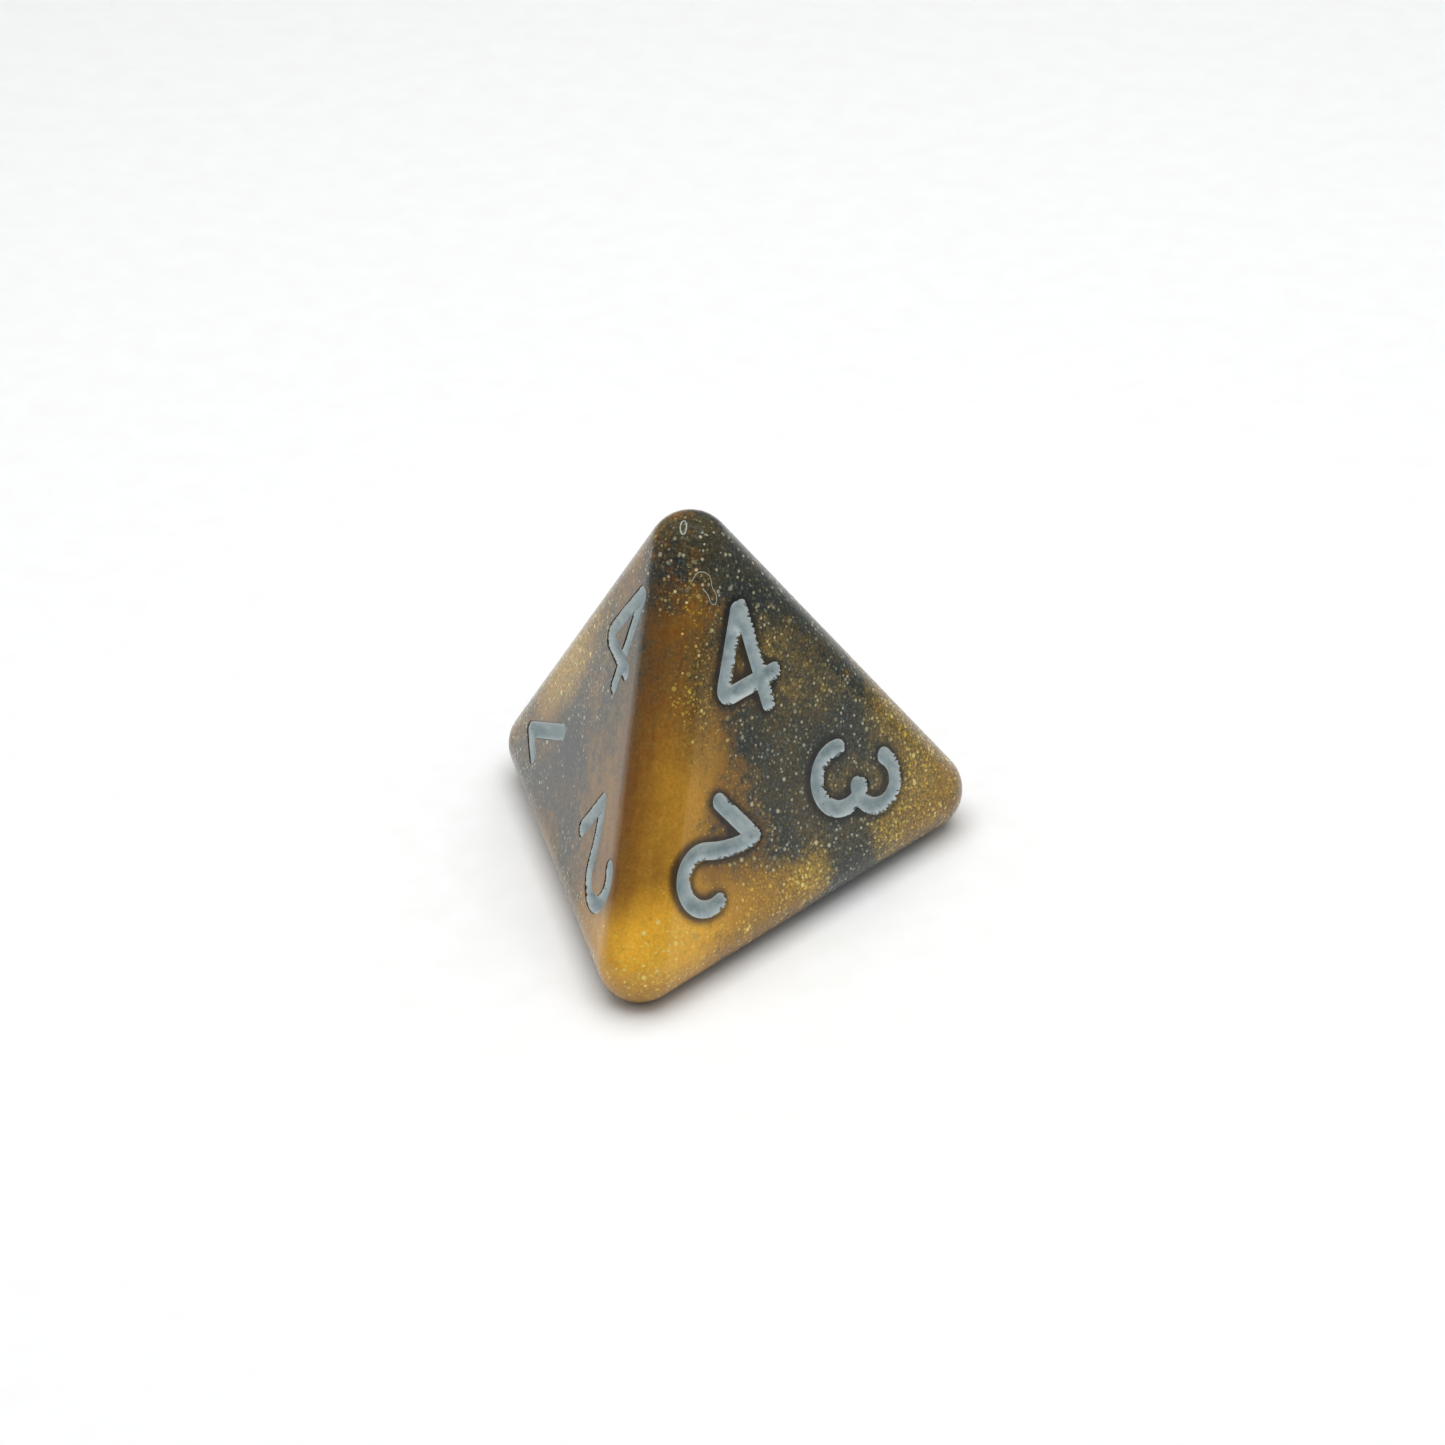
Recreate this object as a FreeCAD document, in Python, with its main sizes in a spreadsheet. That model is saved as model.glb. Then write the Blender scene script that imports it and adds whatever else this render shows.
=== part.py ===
"""Polyhedral die: a four-sided, top-read gaming die that lies on one of its faces.

Real construction
  - one resin casting, a tetrahedron with all its edges rounded, engraved with
    twelve figures: three on each face, each one upright towards its own corner
  - twelve fills of paint, one in each engraved figure, a little below the face

Frame, in millimetres: the origin is the middle of the face that the die rests on,
+Z points up to the corner numbered 4, and -Y to the corner numbered 2. The corner
numbered 3 is on the right of it and the corner numbered 1 on the left. All three
figures next to a corner carry that corner's number.

Each figure is a set of strokes. A stroke is drawn once as its middle line, in a
flat sketch whose origin is the foot of the figure on the line from the middle of
a face to a corner. It is widened with round ends, and raised into a solid where
each copy of the figure belongs.
"""
import FreeCAD, Part
import math
import os

import Sketcher

# Lengths are in millimetres and angles in degrees. A share is a part of one of the
# two lengths below: of the reach where it places a figure on its face, and of the
# rise where it shapes a figure.
DRIVING_SIZES = {
    # the casting
    "edge_length": 25.0,        # between two corners, before they are rounded
    "edge_radius": 1.75,        # of the rounding along every edge
    # what all the figures share
    "figure_share": 0.517,      # outer height of a figure, share of the reach
    "stroke_width": 0.76,
    "groove_depth": 0.60,       # from the face to the floor of a groove
    "paint_recess": 0.08,       # from the face down to the paint
    "cutter_overrun": 0.50,     # how far a groove's cutter stands proud of the face
    # foot of each figure, share of the reach from the middle of the face
    "one_foot": 0.314,
    "two_foot": 0.304,
    "three_foot": 0.211,
    "four_foot": 0.301,
    # where the left face's mould sets two of its figures off the usual place
    "left_two_side": -0.100,
    "left_two_lift": 0.047,
    "left_four_side": 0.058,
    "left_four_lift": 0.068,
    # figure 1, shares of the rise
    "one_stem_side": 0.116,
    "one_flag_side": -0.145,
    "one_flag_lift": 0.829,
    # figure 2
    "two_bowl_side": 0.109,
    "two_bowl_lift": 0.693,
    "two_bowl_radius": 0.283,
    "two_bowl_start": 168.0,
    "two_neck_radius": 1.33,
    "two_corner_side": -0.135,
    "two_base_end": 0.449,
    # figure 3
    "three_upper_side": -0.029,
    "three_upper_lift": 0.790,
    "three_upper_radius": 0.260,
    "three_upper_start": -73.0,
    "three_upper_end": 166.0,
    "three_lower_side": 0.0,
    "three_lower_lift": 0.307,
    "three_lower_radius": 0.307,
    "three_lower_start": -166.0,
    "three_lower_end": 81.0,
    # figure 4
    "four_stem_side": 0.087,
    "four_top_gap": 0.058,      # between the tops of the stem and of the slope
    "four_slope": 57.0,         # of the slope, above the bar
    "four_corner_radius": 0.060,
    "four_bar_lift": 0.261,
    "four_bar_end": 0.265,
}

# Lengths worked out from the driving sizes, as the document's own expressions.
INNER_RADIUS = "(Sizes.edge_length * sqrt(6) / 12)"
# The paint reaches up to the surface of a smaller tetrahedron inside the casting,
# whose faces and rounded edges all lie the paint's recess below the casting's.
PAINT_EDGE_LENGTH = "(Sizes.edge_length - 2 * sqrt(6) * Sizes.paint_recess)"
PAINT_EDGE_RADIUS = "(Sizes.edge_radius - Sizes.paint_recess)"
# From the middle of a face to a corner of its flat part, inside the rounded edges.
FLAT_REACH = "(Sizes.edge_length / sqrt(3) - 2 * sqrt(2) * Sizes.edge_radius)"
# Height of a figure between the middle lines of its top and bottom strokes.
FIGURE_RISE = f"(Sizes.figure_share * {FLAT_REACH} - Sizes.stroke_width)"

CORNER_AZIMUTHS = {1: 150.0, 2: -90.0, 3: 30.0}
FACES = {
    "bottom": (1, 2, 3),
    "right": (2, 3, 4),
    "left": (1, 2, 4),
    "back": (1, 3, 4),
}
FIGURE_FEET = {
    1: "Sizes.one_foot",
    2: "Sizes.two_foot",
    3: "Sizes.three_foot",
    4: "Sizes.four_foot",
}
MOULD_OFFSETS = {
    ("left", 2): ("Sizes.left_two_side", "Sizes.left_two_lift"),
    ("left", 4): ("Sizes.left_four_side", "Sizes.left_four_lift"),
}
PATTERN_COUNT = 3

doc = FreeCAD.newDocument("polyhedral_die")


def make_sheet():
    """Puts the driving sizes into the document's spreadsheet, one alias each."""
    sheet = doc.addObject("Spreadsheet::Sheet", "Sizes")
    for row, (alias, value) in enumerate(DRIVING_SIZES.items(), start=1):
        sheet.set(f"A{row}", alias)
        sheet.set(f"B{row}", str(value))
        sheet.setAlias(f"B{row}", alias)
    doc.recompute()
    return sheet


SHEET = make_sheet()


def value_of(expression):
    """Value of an expression over the sheet, for a sketch's first shape."""
    result = SHEET.evalExpression(expression)
    return float(getattr(result, "Value", result))


def rise_part(share):
    """Expression for a share of the figure's rise."""
    return f"{share} * {FIGURE_RISE}"


# ---------------------------------------------------------------- sketch helpers

def bind(sketch, kind, places, name, expression):
    """Adds a named measure to a sketch and binds it to an expression."""
    value = value_of(expression)
    if kind == "Angle":
        value = math.radians(value)
        expression = f"({expression}) * 1 deg"
    index = sketch.addConstraint(Sketcher.Constraint(kind, *places, value))
    sketch.renameConstraint(index, name)
    sketch.setExpression(f"Constraints.{name}", expression)


def pin(sketch, place, name, side, lift):
    """Holds a point of a sketch at two expressions from the sketch's origin."""
    bind(sketch, "DistanceX", (-1, 1, *place), f"{name}_side", side)
    bind(sketch, "DistanceY", (-1, 1, *place), f"{name}_lift", lift)


def point_at(side, lift):
    """Point of a sketch at two expressions."""
    return FreeCAD.Vector(value_of(side), value_of(lift), 0)


def point_on_arc(centre, radius, angle):
    """Point at an angle, in degrees, on a circle."""
    turn = math.radians(angle)
    return centre + FreeCAD.Vector(math.cos(turn), math.sin(turn), 0) * radius


def add_line(sketch, start, end, construction=False):
    return sketch.addGeometry(Part.LineSegment(start, end), construction)


def add_arc(sketch, centre, radius, start, end):
    """Adds an arc that runs anticlockwise between two angles in degrees."""
    circle = Part.Circle(centre, FreeCAD.Vector(0, 0, 1), radius)
    return sketch.addGeometry(Part.ArcOfCircle(circle, math.radians(start), math.radians(end)))


def join(sketch, first, second, kind="Coincident"):
    sketch.addConstraint(Sketcher.Constraint(kind, *first, *second))


def hold_arc_end(sketch, arc, end, name, centre, radius, angle):
    """Holds one end of an arc at an angle, with a construction line to its centre."""
    spoke = add_line(sketch, centre, point_on_arc(centre, radius, value_of(angle)), True)
    join(sketch, (spoke, 1), (arc, 3))
    join(sketch, (spoke, 2), (arc, end))
    bind(sketch, "Angle", (spoke,), name, angle)


def closed_polygon(sketch, corners, name):
    """Draws a closed outline through corners that are pairs of expressions."""
    points = [point_at(side, lift) for side, lift in corners]
    lines = []
    for index, start in enumerate(points):
        lines.append(add_line(sketch, start, points[(index + 1) % len(points)]))
    for index, line in enumerate(lines):
        join(sketch, (line, 2), (lines[(index + 1) % len(lines)], 1))
    for index, (line, corner) in enumerate(zip(lines, corners), start=1):
        pin(sketch, (line, 1), f"{name}{index}", *corner)


# ---------------------------------------------------------------- the casting

def origin_part(body, role):
    """Plane or axis of a body's own origin."""
    for feature in body.Origin.OriginFeatures:
        if feature.Role == role:
            return feature
    raise ValueError(f"{body.Name} has no {role}")


def body_sketch(body, name, plane):
    sketch = body.newObject("Sketcher::SketchObject", name)
    sketch.AttachmentSupport = [(origin_part(body, plane), "")]
    sketch.MapMode = "FlatFace"
    return sketch


def make_rounded_tetrahedron(name, edge_length, edge_radius):
    """A tetrahedron on the ground with every edge rounded, from two expressions."""
    height = f"({edge_length} * sqrt(2 / 3))"
    corner_reach = f"({edge_length} / sqrt(3))"
    side_reach = f"({edge_length} / (2 * sqrt(3)))"
    body = doc.addObject("PartDesign::Body", name)

    base = body_sketch(body, f"{name}_triangle", "XY_Plane")
    corners = []
    for azimuth in CORNER_AZIMUTHS.values():
        turn = math.radians(azimuth)
        corners.append((f"{math.cos(turn):.9f} * {corner_reach}", f"{math.sin(turn):.9f} * {corner_reach}"))
    closed_polygon(base, corners, "corner")
    prism = body.newObject("PartDesign::Pad", f"{name}_prism")
    prism.Profile = base
    prism.setExpression("Length", height)
    doc.recompute()
    prism_volume = prism.Shape.Volume

    # What lies outside the back face: the outline runs a tenth past both ends of it.
    slope = body_sketch(body, f"{name}_outside_back_face", "YZ_Plane")
    outside = [
        (f"1.1 * {side_reach}", f"-0.1 * {height}"),
        (f"2.2 * {side_reach}", f"1.1 * {height}"),
        (f"-0.1 * {side_reach}", f"1.1 * {height}"),
    ]
    closed_polygon(slope, outside, "slope")
    side_cut = body.newObject("PartDesign::Pocket", f"{name}_back_face_cut")
    side_cut.Profile = slope
    side_cut.Type = "Length"
    side_cut.SideType = "Symmetric"
    side_cut.setExpression("Length", f"2 * {edge_length}")
    doc.recompute()
    if side_cut.Shape.Volume >= prism_volume:
        raise RuntimeError("the back face's cut takes nothing away")

    all_cuts = body.newObject("PartDesign::PolarPattern", f"{name}_three_face_cuts")
    all_cuts.Originals = [side_cut]
    all_cuts.Axis = (origin_part(body, "Z_Axis"), [""])
    all_cuts.Angle = 360
    all_cuts.Occurrences = PATTERN_COUNT
    body.Tip = all_cuts
    doc.recompute()

    rounding = body.newObject("PartDesign::Fillet", f"{name}_edge_rounding")
    rounding.Base = (all_cuts, [f"Edge{number}" for number in range(1, len(all_cuts.Shape.Edges) + 1)])
    rounding.setExpression("Radius", edge_radius)
    body.Tip = rounding
    doc.recompute()
    return body


def make_blank():
    """The casting before engraving."""
    return make_rounded_tetrahedron("die_blank", "Sizes.edge_length", "Sizes.edge_radius")


def make_paint_level():
    """The body that the paint fills the grooves up to."""
    level = make_rounded_tetrahedron("paint_level", PAINT_EDGE_LENGTH, PAINT_EDGE_RADIUS)
    level.setExpression("Placement.Base.z", "Sizes.paint_recess")
    doc.recompute()
    return level


# ---------------------------------------------------------------- the strokes

def stroke_sketch(name):
    return doc.addObject("Sketcher::SketchObject", name)


def widen(sketch, name):
    """Face of a stroke: its middle line, widened evenly, with round ends."""
    stroke = doc.addObject("Part::Offset2D", name)
    stroke.Source = sketch
    stroke.Mode = "Pipe"
    stroke.Join = "Arc"
    stroke.Fill = True
    stroke.setExpression("Value", "Sizes.stroke_width / 2")
    return stroke


def draw_one():
    """Flag and stem, in one line with a corner."""
    sketch = stroke_sketch("one_line")
    stem = rise_part("Sizes.one_stem_side")
    flag = (rise_part("Sizes.one_flag_side"), rise_part("Sizes.one_flag_lift"))
    top = (stem, FIGURE_RISE)
    flag_line = add_line(sketch, point_at(*flag), point_at(*top))
    stem_line = add_line(sketch, point_at(*top), point_at(stem, "0"))
    join(sketch, (flag_line, 2), (stem_line, 1))
    sketch.addConstraint(Sketcher.Constraint("Vertical", stem_line))
    pin(sketch, (flag_line, 1), "flag", *flag)
    pin(sketch, (stem_line, 1), "top", *top)
    bind(sketch, "DistanceY", (-1, 1, stem_line, 2), "stem_foot", "0")
    return [widen(sketch, "one_stroke")]


def draw_two():
    """Bowl, a neck that bends the other way, and a flat base."""
    sketch = stroke_sketch("two_line")
    centre_place = (rise_part("Sizes.two_bowl_side"), rise_part("Sizes.two_bowl_lift"))
    corner_place = (rise_part("Sizes.two_corner_side"), "0")
    centre = point_at(*centre_place)
    corner = point_at(*corner_place)
    bowl_radius = value_of(rise_part("Sizes.two_bowl_radius"))
    neck_radius = value_of(rise_part("Sizes.two_neck_radius"))

    # The neck's centre lies as far from the bowl's centre as the two radii together,
    # and its own radius from the corner, on the lower side of the line between them.
    apart = corner - centre
    to_neck = bowl_radius + neck_radius
    cosine = (apart.Length ** 2 + to_neck ** 2 - neck_radius ** 2) / (2 * apart.Length * to_neck)
    heading = math.atan2(apart.y, apart.x) + math.acos(cosine)
    neck_centre = point_on_arc(centre, to_neck, math.degrees(heading))
    joint_angle = math.degrees(heading)
    from_neck = corner - neck_centre
    corner_angle = math.degrees(math.atan2(from_neck.y, from_neck.x))

    bowl = add_arc(sketch, centre, bowl_radius, joint_angle, value_of("Sizes.two_bowl_start"))
    neck = add_arc(sketch, neck_centre, neck_radius, joint_angle - 180, corner_angle)
    base_end = point_at(rise_part("Sizes.two_base_end"), "0")
    base = add_line(sketch, corner, base_end)
    pin(sketch, (bowl, 3), "bowl", *centre_place)
    bind(sketch, "Radius", (bowl,), "bowl_radius", rise_part("Sizes.two_bowl_radius"))
    hold_arc_end(sketch, bowl, 2, "bowl_start", centre, bowl_radius, "Sizes.two_bowl_start")
    join(sketch, (bowl, 1), (neck, 1), "Tangent")
    bind(sketch, "Radius", (neck,), "neck_radius", rise_part("Sizes.two_neck_radius"))
    join(sketch, (neck, 2), (base, 1))
    pin(sketch, (base, 1), "corner", *corner_place)
    sketch.addConstraint(Sketcher.Constraint("Horizontal", base))
    bind(sketch, "DistanceX", (-1, 1, base, 2), "base_end", rise_part("Sizes.two_base_end"))
    return [widen(sketch, "two_stroke")]


def draw_three():
    """Two bowls, whose inner ends meet in the nose of the figure."""
    strokes = []
    for bowl_name in ("upper", "lower"):
        sketch = stroke_sketch(f"three_{bowl_name}_line")
        sizes = f"Sizes.three_{bowl_name}"
        place = (rise_part(f"{sizes}_side"), rise_part(f"{sizes}_lift"))
        centre = point_at(*place)
        radius_size = rise_part(f"{sizes}_radius")
        radius = value_of(radius_size)
        bowl = add_arc(sketch, centre, radius, value_of(f"{sizes}_start"), value_of(f"{sizes}_end"))
        pin(sketch, (bowl, 3), "bowl", *place)
        bind(sketch, "Radius", (bowl,), "bowl_radius", radius_size)
        hold_arc_end(sketch, bowl, 1, "bowl_start", centre, radius, f"{sizes}_start")
        hold_arc_end(sketch, bowl, 2, "bowl_end", centre, radius, f"{sizes}_end")
        strokes.append(widen(sketch, f"three_{bowl_name}_stroke"))
    return strokes


def draw_four_slope():
    """The sloping stroke of the figure 4 and its bar, with a rounded corner."""
    sketch = stroke_sketch("four_slope_line")
    start_place = (rise_part("(Sizes.four_stem_side - Sizes.four_top_gap)"), FIGURE_RISE)
    start = point_at(*start_place)
    bar_lift = rise_part("Sizes.four_bar_lift")
    bar_end = point_at(rise_part("Sizes.four_bar_end"), bar_lift)
    angle = math.radians(value_of("Sizes.four_slope"))
    radius = value_of(rise_part("Sizes.four_corner_radius"))

    corner_x = start.x - (start.y - bar_end.y) / math.tan(angle)
    setback = radius / math.tan(angle / 2)
    corner = FreeCAD.Vector(corner_x, bar_end.y, 0)
    slope_end = corner + FreeCAD.Vector(math.cos(angle), math.sin(angle), 0) * setback
    bar_start = corner + FreeCAD.Vector(setback, 0, 0)
    arc_centre = bar_start + FreeCAD.Vector(0, radius, 0)

    slope = add_line(sketch, start, slope_end)
    corner_arc = add_arc(sketch, arc_centre, radius, 90 + math.degrees(angle), 270)
    bar = add_line(sketch, bar_start, bar_end)
    join(sketch, (slope, 2), (corner_arc, 1), "Tangent")
    join(sketch, (corner_arc, 2), (bar, 1), "Tangent")
    pin(sketch, (slope, 1), "slope_top", *start_place)
    bind(sketch, "Angle", (slope,), "slope_angle", "Sizes.four_slope - 180")
    bind(sketch, "Radius", (corner_arc,), "corner_radius", rise_part("Sizes.four_corner_radius"))
    sketch.addConstraint(Sketcher.Constraint("Horizontal", bar))
    pin(sketch, (bar, 2), "bar_end", rise_part("Sizes.four_bar_end"), bar_lift)
    return widen(sketch, "four_slope_stroke")


def draw_four_stem():
    """The stem of the figure 4, drawn as its outline: a slot with round ends."""
    sketch = stroke_sketch("four_stem_stroke")
    side = rise_part("Sizes.four_stem_side")
    half_width = "Sizes.stroke_width / 2"
    top = point_at(side, FIGURE_RISE)
    foot = point_at(side, "0")
    radius = value_of(half_width)
    across = FreeCAD.Vector(radius, 0, 0)

    top_arc = add_arc(sketch, top, radius, 0, 180)
    left_line = add_line(sketch, top - across, foot - across)
    foot_arc = add_arc(sketch, foot, radius, 180, 360)
    right_line = add_line(sketch, foot + across, top + across)
    outline = [(top_arc, 2, left_line, 1), (left_line, 2, foot_arc, 1),
               (foot_arc, 2, right_line, 1), (right_line, 2, top_arc, 1)]
    for first, first_end, second, second_end in outline:
        join(sketch, (first, first_end), (second, second_end), "Tangent")
    sketch.addConstraint(Sketcher.Constraint("Equal", top_arc, foot_arc))
    pin(sketch, (top_arc, 3), "top", side, FIGURE_RISE)
    pin(sketch, (foot_arc, 3), "foot", side, "0")
    bind(sketch, "Radius", (top_arc,), "half_width", half_width)
    return sketch


def draw_four():
    return [draw_four_slope(), draw_four_stem()]


# ---------------------------------------------------------------- the figures

def corner_direction(number):
    """Corner of a tetrahedron with edges 1 long, its base's middle at the origin."""
    if number not in CORNER_AZIMUTHS:
        return FreeCAD.Vector(0, 0, math.sqrt(2 / 3))
    turn = math.radians(CORNER_AZIMUTHS[number])
    return FreeCAD.Vector(math.cos(turn), math.sin(turn), 0) * (1 / math.sqrt(3))


def figure_axes(face, number):
    """Directions of a figure: to its right, up towards its corner, and outwards."""
    corners = [corner_direction(corner) for corner in FACES[face]]
    middle = (corners[0] + corners[1] + corners[2]) * (1 / 3)
    outward = middle - FreeCAD.Vector(0, 0, math.sqrt(6) / 12)
    upward = corner_direction(number) - middle
    outward.normalize()
    upward.normalize()
    return upward.cross(outward), upward, outward


def groove_floor_placement(face, number):
    """Rotation, and expressions for the place, of a figure at its groove's floor."""
    rightward, upward, outward = figure_axes(face, number)
    side_share, lift_share = MOULD_OFFSETS.get((face, number), ("0", "0"))
    lift = f"({FIGURE_FEET[number]} + {lift_share}) * {FLAT_REACH}"
    side = f"{side_share} * {FLAT_REACH}"
    depth = f"({INNER_RADIUS} - Sizes.groove_depth)"
    places = []
    for along_x in zip(rightward, upward, outward):
        places.append("{:.9f} * {} + {:.9f} * {} + {:.9f} * {}".format(
            along_x[0], side, along_x[1], lift, along_x[2], depth))
    places[2] += f" + {INNER_RADIUS}"
    return FreeCAD.Rotation(rightward, upward, outward, "ZXY"), places


def raise_strokes(strokes, face, number, name):
    """Cutter of a figure's groove: its strokes, raised from the groove's floor."""
    rotation, places = groove_floor_placement(face, number)
    solids = []
    for index, stroke in enumerate(strokes, start=1):
        solid = doc.addObject("Part::Extrusion", f"{name}_stroke_{index}")
        solid.Base = stroke
        solid.DirMode = "Custom"
        solid.Dir = FreeCAD.Vector(0, 0, 1)
        solid.Solid = True
        solid.setExpression("LengthFwd", "Sizes.groove_depth + Sizes.cutter_overrun")
        solid.Placement = FreeCAD.Placement(FreeCAD.Vector(0, 0, 0), rotation)
        for axis, place in zip("xyz", places):
            solid.setExpression(f"Placement.Base.{axis}", place)
        solids.append(solid)
    if len(solids) == 1:
        solids[0].Label = name
        return solids[0]
    figure = doc.addObject("Part::MultiFuse", name)
    figure.Shapes = solids
    figure.Refine = True
    return figure


def make_cutters():
    """The cutters of all twelve grooves, by face and figure."""
    drawings = {1: draw_one(), 2: draw_two(), 3: draw_three(), 4: draw_four()}
    doc.recompute()
    cutters = {}
    for face, numbers in FACES.items():
        for number in numbers:
            name = f"{face}_{number}"
            cutters[name] = raise_strokes(drawings[number], face, number, f"cutter_{name}")
    doc.recompute()
    return cutters


def fill_with_paint(cutters, level):
    """The paint in each groove: what its cutter takes out, up to the paint's level."""
    inlays = []
    for name, cutter in cutters.items():
        inlay = doc.addObject("Part::Common", f"inlay_{name}")
        inlay.Base = cutter
        inlay.Tool = level
        inlays.append(inlay)
    doc.recompute()
    return inlays


def engrave(blank, cutters):
    """The finished casting: the blank less all its grooves."""
    all_cutters = doc.addObject("Part::MultiFuse", "all_cutters")
    all_cutters.Shapes = list(cutters.values())
    casting = doc.addObject("Part::Cut", "resin_body")
    casting.Base = blank
    casting.Tool = all_cutters
    doc.recompute()
    return casting


# ---------------------------------------------------------------- checks and files

def check_document(sub_parts):
    """Stops if any object failed, or any sub-part isn't one valid solid."""
    for item in doc.Objects:
        if "Invalid" in item.State or "Error" in item.State:
            raise RuntimeError(f"{item.Label}: {item.State}")
        if item.isDerivedFrom("Sketcher::SketchObject") and not item.FullyConstrained:
            raise RuntimeError(f"{item.Label} isn't fully constrained")
    for item in sub_parts:
        shape = item.Shape
        if shape.isNull() or not shape.isValid() or len(shape.Solids) != 1:
            raise RuntimeError(f"{item.Label} isn't one valid solid")


def write_parts(sub_parts):
    os.makedirs("parts", exist_ok=True)
    for item in sub_parts:
        item.Shape.exportStep(os.path.join("parts", f"{item.Label}.step"))
        print(f"{item.Label}: {item.Shape.Volume:.3f} cubic mm")


groove_cutters = make_cutters()
resin_body = engrave(make_blank(), groove_cutters)
die_parts = [resin_body] + fill_with_paint(groove_cutters, make_paint_level())
check_document(die_parts)
write_parts(die_parts)
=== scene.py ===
"""Looks of a four-sided resin gaming die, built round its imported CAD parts.

The die is one casting of glossy two-coloured resin full of glitter, with twelve
engraved figures that are filled with pale silver-grey paint. It lies on the face
with the figures 1, 2 and 3. Places are in the CAD frame: the origin is the middle
of that face, +Z points up to the corner 4 and -Y to the corner 2.
"""
import logging
import math
from dataclasses import dataclass
from enum import Enum

import bmesh
import bpy
from bpy.types import Material, Mesh, Node, NodeSocket, NodeTree, Object
from mathutils import Matrix, Vector, noise
from mathutils.bvhtree import BVHTree
from mathutils.geometry import closest_point_on_tri


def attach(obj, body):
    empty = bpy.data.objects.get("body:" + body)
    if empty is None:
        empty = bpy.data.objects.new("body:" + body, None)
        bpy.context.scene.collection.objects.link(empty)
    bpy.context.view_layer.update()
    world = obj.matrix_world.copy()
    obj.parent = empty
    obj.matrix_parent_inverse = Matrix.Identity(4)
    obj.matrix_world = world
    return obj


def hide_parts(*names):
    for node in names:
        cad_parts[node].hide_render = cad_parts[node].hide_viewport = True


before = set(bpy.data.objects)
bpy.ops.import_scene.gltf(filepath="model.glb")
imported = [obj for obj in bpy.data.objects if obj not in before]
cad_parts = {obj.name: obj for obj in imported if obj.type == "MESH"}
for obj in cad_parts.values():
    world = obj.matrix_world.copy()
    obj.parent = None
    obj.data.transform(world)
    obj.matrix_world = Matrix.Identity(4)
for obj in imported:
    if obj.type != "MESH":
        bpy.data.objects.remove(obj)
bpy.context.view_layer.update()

LOG = logging.getLogger("die")

MM = 0.001
PER_MM = 1 / MM
BODY = "root"
MERGE_DISTANCE = 1e-4 * MM


class Face(Enum):
    """A face of the die, by the three corners round it. The first one is its top."""

    RIGHT = (4, 2, 3)
    LEFT = (4, 1, 2)
    BACK = (4, 3, 1)
    BOTTOM = (2, 1, 3)


class Slot(Enum):
    """The record's material slots."""

    RESIN = "resin"
    PAINT = "figure_paint"


# ---------------------------------------------------------------- small helpers

def linear(hex_colour: str) -> tuple[float, float, float, float]:
    """Turns an sRGB hex colour into the linear colour that shaders use.

    Args:
        hex_colour: six hex digits, with or without a leading #.

    Returns:
        Linear red, green and blue, and an alpha of 1.
    """
    digits = hex_colour.lstrip("#")
    channels = [int(digits[i:i + 2], 16) / 255 for i in (0, 2, 4)]
    turned = [c / 12.92 if c <= 0.04045 else ((c + 0.055) / 1.055) ** 2.4 for c in channels]
    return (*turned, 1.0)


def add_node(tree: NodeTree, kind: str, links: dict | None = None, **settings: object) -> Node:
    """Adds a node with its settings and links.

    Args:
        tree: the node tree that it goes into.
        kind: the node's type name.
        links: for each input, by name or number, a socket to link or a value to set.
        settings: the node's own properties. "stops" are a colour ramp's, as pairs of
            a place and an sRGB hex colour.

    Returns:
        The new node.
    """
    node = tree.nodes.new(kind)
    stops = settings.pop("stops", ())
    for name, value in settings.items():
        setattr(node, name, value)
    for number, (place, colour) in enumerate(stops):
        elements = node.color_ramp.elements
        element = elements[number] if number < 2 else elements.new(place)
        element.position = place
        element.color = linear(colour)
    for name, source in (links or {}).items():
        if isinstance(source, NodeSocket):
            tree.links.new(source, node.inputs[name])
        else:
            node.inputs[name].default_value = source
    return node


def stretched(tree: NodeTree, value: NodeSocket, low: float, high: float, swing: float = 0.25) -> Node:
    """Stretches a noise, which stays mostly near 0.5, between two values.

    Args:
        tree: the node tree.
        value: the noise's socket.
        low: what the low end of its swing becomes.
        high: what the high end becomes.
        swing: how far it swings either way of 0.5.

    Returns:
        The node that stretches it.
    """
    return add_node(tree, "ShaderNodeMapRange", {
        "Value": value, "From Min": 0.5 - swing, "From Max": 0.5 + swing, "To Min": low, "To Max": high,
    })


def new_material(name: str) -> tuple[Material, NodeTree, NodeSocket]:
    """Starts an empty material whose patterns are placed in millimetres.

    Args:
        name: what the material is.

    Returns:
        The material, its node tree and the socket of the place in millimetres.
    """
    material = bpy.data.materials.new(name)
    material.use_nodes = True
    tree = material.node_tree
    tree.nodes.clear()
    coordinates = add_node(tree, "ShaderNodeTexCoord")
    place = add_node(tree, "ShaderNodeVectorMath", {
        0: coordinates.outputs["Object"], "Scale": PER_MM,
    }, operation="SCALE")
    return material, tree, place.outputs[0]


def new_piece(name: str, mesh: Mesh, material: Material) -> Object:
    """Makes an object from a mesh and lets it ride on the die's one body.

    Args:
        name: name of the piece.
        mesh: its mesh, already in place.
        material: its material.

    Returns:
        The new object.
    """
    piece = bpy.data.objects.new(name, mesh)
    bpy.context.scene.collection.objects.link(piece)
    mesh.materials.clear()
    mesh.materials.append(material)
    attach(piece, BODY)
    LOG.info("%s: %d faces", name, len(mesh.polygons))
    return piece


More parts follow.
